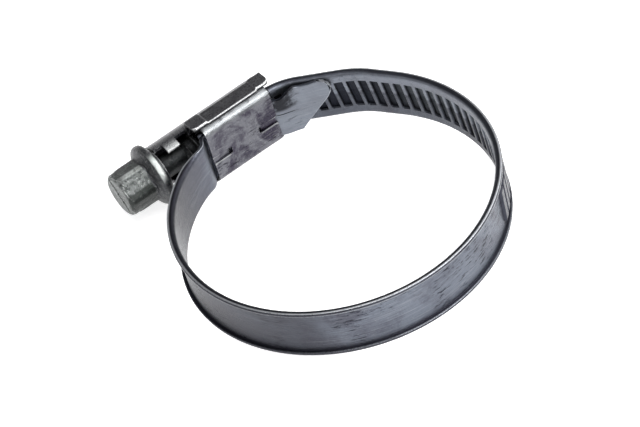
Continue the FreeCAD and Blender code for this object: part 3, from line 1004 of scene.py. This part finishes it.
def tongue_dark_patch(m, along, across):
    """The near-black patch where the tongue leaves the housing, on its upper half."""
    start = band_path()[1]["right_plate"] + TONGUE_HIDDEN
    ragged = m.ramp(m.noise(0.7, 4, 0.6, shift=(4, 4, 4)), 0.3, 0.7, -0.7, 0.7)
    reach = m.math("ADD", along, ragged)
    return m.all_of(
        m.ramp(reach, start - 0.6, start + 0.6), m.ramp(reach, start + 4.8, start + 2.0),
        m.ramp(across, 0.2, 1.6), m.ramp(across, 5.2, 4.4),
    )


def band_steel():
    """The band's steel: painted shade in the pockets, and painted dark lines beside a painted
    highlight line on the turned-out edges.
    """
    dark = (0.018, 0.018, 0.025)
    m, colour, finish, height, bump = steel(
        "band_steel", (0.112, 0.124, 0.150), (0.066, 0.068, 0.086), (0.42, 0.44, 0.47),
        dark, 0.34, uv=True, blotch=0.09, spread=0.12, streaks=0.26, speckle=0.24,
        scuffs=0.9, wear=0.6, wear_from=(0.16, 0.34), seed=3.0, spared="pressed",
    )
    along, across, _ = m.axes()
    inside = m.attribute("inside")
    colour = band_painted_light_and_shade(m, colour, along, inside)
    # painted shade on the outer face of the ribs
    outer_rib_shade = m.all_of(m.attribute("pressed"), m.ramp(inside, 0.4, 0.1, 0, 0.8))
    colour = m.mix(outer_rib_shade, colour, dark)
    colour = m.mix(m.eased(tongue_dark_patch(m, along, across), 0.92), colour, BLACK)
    edge = m.attribute("turned_edge")
    # painted shade: dark lines along the turned-out edges, strongest on the lower edge
    lip_shade = m.all_of(edge, m.ramp(m.attribute("relief"), 0.5, 0.3))
    colour = m.mix(m.ramp(lip_shade, 0, 0.6, 0, 0.75), colour, dark)
    lower_edge_shade = m.ramp(edge, 0.65, 0.9)
    colour = m.mix(m.eased(lower_edge_shade, 0.6), colour, dark)
    # painted highlight line on the turned-out edge's tip
    colour = m.mix(m.eased(m.attribute("tip_highlight"), 0.75), colour, (0.72, 0.74, 0.77))
    # painted shade deep in the pockets, less of it further from the housing
    depth = m.ramp(m.attribute("recess"), 0.25, 0.9)
    pocket_shade_mask = m.all_of(depth, m.ramp(along, 18, 36, 0.92, 0.35))
    pocket_shade = m.mix(m.ramp(along, 15, 40), (0.010, 0.011, 0.016), (0.036, 0.041, 0.036))
    colour = m.mix(pocket_shade_mask, colour, pocket_shade)
    finish = m.math("ADD", finish, m.eased(depth, 0.12))
    return m.finish(colour, finish, height, bump)


def saddle_steel():
    m, colour, finish, height, bump = steel(
        "saddle_steel", (0.120, 0.121, 0.136), (0.034, 0.030, 0.045), (0.50, 0.52, 0.51),
        (0.016, 0.015, 0.022), 0.33, blotch=0.2, spread=0.09, streaks=0.1, speckle=0.3,
        scuffs=0.85, wear=0.35, wear_from=(0.1, 0.3), seed=11.0,
    )
    # a painted highlight along the upper fold
    fold_highlight = m.ramp(m.axes()[2], PLATE_HALF_W - 1.6, PLATE_HALF_W - 0.4, 0, 0.32)
    return m.finish(m.mix(fold_highlight, colour, (0.50, 0.53, 0.52)), finish, height, bump)


def housing_steel():
    """The shell's steel: painted highlights along the hem and on the tab, painted shade inside."""
    dark = (0.014, 0.014, 0.017)
    m, colour, finish, height, bump = steel(
        "housing_steel", (0.175, 0.175, 0.182), (0.135, 0.135, 0.142), WEAR_AND_HIGHLIGHT,
        dark, 0.3, blotch=0.2, streaks=0.08, speckle=0.05, scuffs=0.15, wear=0.8,
        wear_from=(0.22, 0.36), seed=5.0,
    )
    x, y, z = m.axes()
    aside = m.math("ABSOLUTE", z, 0)
    # painted highlight along the skirt's lower edge
    hem = m.all_of(
        m.ramp(y, SKIRT_LOW + 0.25, SKIRT_LOW - 0.05),
        m.ramp(aside, SKIRT_HALF_W - 0.38, SKIRT_HALF_W - 0.28),
    )
    colour = m.mix(m.eased(hem, 0.5), colour, WEAR_AND_HIGHLIGHT)
    # painted shade on the skirt's inner side under the shelf
    inner_side = m.ramp(aside, SKIRT_HALF_W - 0.32, SKIRT_HALF_W - 0.42)
    under_shelf = m.ramp(y, SHELF_TOP - 0.75, SHELF_TOP - 1.15, 0, 0.85)
    colour = m.mix(m.all_of(inner_side, under_shelf), colour, dark)
    # painted glint on the tab
    tab = m.all_of(
        m.ramp(x, TAB_X[0] - 0.1, TAB_X[0] + 0.2), m.ramp(x, TAB_X[1] + 0.1, TAB_X[1] - 0.2),
        m.ramp(z, 1.0, 2.0), m.ramp(y, AXIS_Y + 0.3, AXIS_Y - 1.2, 0, 0.6),
    )
    colour = m.mix(tab, colour, WEAR_AND_HIGHLIGHT)
    # painted shade in the bore round the screw, as far as the closed rear
    bore_r = DOME_R - SHELL_T
    up = m.math("SUBTRACT", y, AXIS_Y)
    in_bore = m.ramp(m.square_off(up, z), (bore_r + 0.05) ** 2, (bore_r + 0.17) ** 2, 0.85, 0)
    rear = DOME_X[1] - 0.9
    bore_shade = m.all_of(in_bore, m.ramp(x, rear, rear + 0.1, 1, 0))
    return m.finish(m.mix(bore_shade, colour, dark), finish, height, bump)


def screw_steel():
    """The screw's steel: painted shade by the flange, on one flat of its head and on the neck; painted
    highlights on one corner and on the flange's rim.
    """
    dark = (0.016, 0.018, 0.017)
    m, colour, finish, height, bump = steel(
        "screw_steel", (0.130, 0.138, 0.135), (0.058, 0.062, 0.061), (0.64, 0.66, 0.65),
        dark, 0.36, blotch=0.9, spread=0.1, streaks=0.04, speckle=0.75, speckle_scale=2.2,
        scuffs=0.5, wear=0.6, wear_from=(0.2, 0.5), bump=0.5, seed=19.0,
    )
    x, y, z = m.axes()
    up = m.math("SUBTRACT", y, AXIS_Y)
    head_start, head_end = HEX_X
    # painted shade in the crease where the head meets the flange
    collar_shade = m.ramp(x, head_end - 0.6, head_end - 0.2, 0, 0.5)
    colour = m.mix(collar_shade, colour, (0.030, 0.027, 0.036))
    on_head = m.ramp(x, head_end - 0.3, head_end - 0.6)
    # painted shade on the head's lower flat
    low_flat = m.ramp(m.math("MULTIPLY", up, -1), 2.9, 3.3)
    low_flat_shade = m.all_of(on_head, m.eased(low_flat, 0.85))
    colour = m.mix(low_flat_shade, colour, (0.028, 0.031, 0.029))
    # painted highlight along one corner of the head
    corner_up, corner_z = -0.75, 3.75
    from_corner = m.square_off(m.math("SUBTRACT", up, corner_up), m.math("SUBTRACT", z, corner_z))
    corner_highlight = m.all_of(
        m.ramp(from_corner, 0.6, 0.02), on_head,
        m.ramp(x, head_start + 0.6, head_start + 2.2, 0.3, 0.9),
        m.ramp(m.noise(1.4, 4, 0.7, shift=(6, 1, 2)), 0.36, 0.56, 0.3, 1),
    )
    colour = m.mix(corner_highlight, colour, PAINTED_HIGHLIGHT)
    # painted highlight streak on the flange's rim
    on_rim = m.ramp(m.square_off(up, z), (FLANGE_R - 0.16) ** 2, (FLANGE_R - 0.02) ** 2)
    rim_highlight = m.all_of(on_rim, m.ramp(z, 1.0, 2.6), m.ramp(up, -0.8, -2.6, 0, 0.5))
    colour = m.mix(rim_highlight, colour, PAINTED_HIGHLIGHT)
    # painted shade on the neck inside the housing
    neck_shade = m.ramp(x, BEAD_END - 0.1, BEAD_END + 0.4, 0, 0.55)
    return m.finish(m.mix(neck_shade, colour, dark), finish, height, bump)


# ---------------------------------------------------------------- camera, light, floor

CAMERA_AZIMUTH = -24.3
CAMERA_ELEVATION = 43.1
CAMERA_ROLL = 17.7
CAMERA_DISTANCE = 504.0
FOCAL_PX = 3280.0
CENTRE_PX = (19.4, 5.0)      # the ring's centre right of and above the picture's middle
PICTURE_W = 640.0


def camera():
    azimuth, elevation = math.radians(CAMERA_AZIMUTH), math.radians(CAMERA_ELEVATION)
    roll = math.radians(CAMERA_ROLL)
    back = Vector((
        math.sin(azimuth) * math.cos(elevation),
        -math.cos(azimuth) * math.cos(elevation),
        math.sin(elevation),
    ))
    right = Vector((math.cos(azimuth), math.sin(azimuth), 0))
    up = back.cross(right)
    rolled_up = up * math.cos(roll) + right * math.sin(roll)
    rolled_right = right * math.cos(roll) - up * math.sin(roll)
    place = back * CAMERA_DISTANCE
    aside = rolled_right * CENTRE_PX[0] + rolled_up * CENTRE_PX[1]
    target = -aside * (CAMERA_DISTANCE / FOCAL_PX)
    forward = (target - place).normalized()
    side = forward.cross(rolled_up).normalized()
    turn = Matrix((side, side.cross(forward), -forward)).transposed()
    data = bpy.data.cameras.new("camera")
    data.sensor_width = 36.0
    data.lens = FOCAL_PX * data.sensor_width / PICTURE_W
    data.clip_start = 0.01
    data.clip_end = 50.0
    holder = bpy.data.objects.new("camera", data)
    holder.matrix_world = Matrix.Translation(place * MM) @ turn.to_4x4()
    bpy.context.scene.collection.objects.link(holder)
    bpy.context.scene.camera = holder


def softbox(name, towards, distance, size, radiance):
    """A square area light facing the ring's centre from the direction towards."""
    place = Vector(towards).normalized() * distance
    data = bpy.data.lights.new(name, "AREA")
    data.shape = "SQUARE"
    data.size = size
    data.energy = radiance * math.pi * size * size
    light = bpy.data.objects.new(name, data)
    light.rotation_mode = "QUATERNION"
    light.rotation_quaternion = (-place).to_track_quat("-Z", "Y")
    light.location = place
    bpy.context.scene.collection.objects.link(light)


def sky():
    """Bright near the horizon and dim above, so that the metal has something to reflect."""
    world = bpy.data.worlds.new("world")
    bpy.context.scene.world = world
    world.use_nodes = True
    tree = world.node_tree
    coords = tree.nodes.new("ShaderNodeTexCoord")
    split = tree.nodes.new("ShaderNodeSeparateXYZ")
    ramp = tree.nodes.new("ShaderNodeValToRGB")
    tree.links.new(coords.outputs["Generated"], split.inputs["Vector"])
    tree.links.new(split.outputs["Z"], ramp.inputs["Fac"])
    tree.links.new(ramp.outputs["Color"], tree.nodes["Background"].inputs["Color"])
    stops = ramp.color_ramp.elements
    stops[0].position, stops[0].color = 0.12, (1.0, 1.0, 1.0, 1)
    stops[1].position, stops[1].color = 0.42, (0.18, 0.18, 0.19, 1)
    late = stops.new(0.9)
    late.color = (0.30, 0.30, 0.31, 1)


REST_Y = 28.0                # the skirt's side rests on the floor here
FLOOR_HALF = 1500.0
FLOOR_GAP = 0.02


def stage():
    """A pale floor that touches the folded skirt and the far edge of the ring."""
    skirt_low, skirt_y = -SKIRT_HALF_W, REST_Y
    ring_low, ring_y = -HALF_W, -(RING_R + RIM_H)
    slope = (skirt_low - ring_low) / (skirt_y - ring_y)
    corners = []
    for x, y in ((-1, -1), (1, -1), (1, 1), (-1, 1)):
        far_y = y * FLOOR_HALF
        corners.append((x * FLOOR_HALF, far_y, ring_low + slope * (far_y - ring_y) - FLOOR_GAP))
    floor = new_mesh("floor", corners, [(0, 1, 2, 3)])
    material = bpy.data.materials.new("floor")
    material.use_nodes = True
    shader = material.node_tree.nodes["Principled BSDF"]
    shader.inputs["Base Color"].default_value = (0.9, 0.9, 0.9, 1)
    shader.inputs["Roughness"].default_value = 0.9
    shader.inputs["Specular IOR Level"].default_value = 0.1
    # a glow of its own keeps shadows on the floor pale
    shader.inputs["Emission Color"].default_value = (1, 1, 1, 1)
    shader.inputs["Emission Strength"].default_value = 0.7
    floor.data.materials.append(material)


def lights():
    softbox("key", (0.30, -0.76, 0.56), 0.5, 0.20, 19.0)
    softbox("left_fill", (-0.9, -0.2, 0.6), 0.6, 0.4, 0.9)
    softbox("right_fill", (0.9, -0.1, 0.7), 0.6, 0.5, 2.4)
    softbox("top", (0.0, -0.3, 1.0), 0.7, 0.5, 3.0)
    bpy.context.scene.view_settings.view_transform = "Standard"


# ---------------------------------------------------------------- the pieces


def place_piece(piece, material, body, slot, *nodes):
    piece.data.materials.clear()
    piece.data.materials.append(material)
    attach(piece, body)
    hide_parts(*nodes)


band_material = band_steel()
ring = band_ring()
place_piece(ring, band_material, "housing", "band", "band_loop", "band_fixed_end")
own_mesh(ring)
place_piece(band_tail(), band_material, "tail", "band", "band_tail")
place_piece(saddle_plate(), saddle_steel(), "housing", "saddle", "saddle_plate")
place_piece(housing_shell(), housing_steel(), "housing", "housing", "housing_shell")
place_piece(worm_screw(), screw_steel(), "screw", "screw", "worm_screw")

camera()
sky()
lights()
stage()
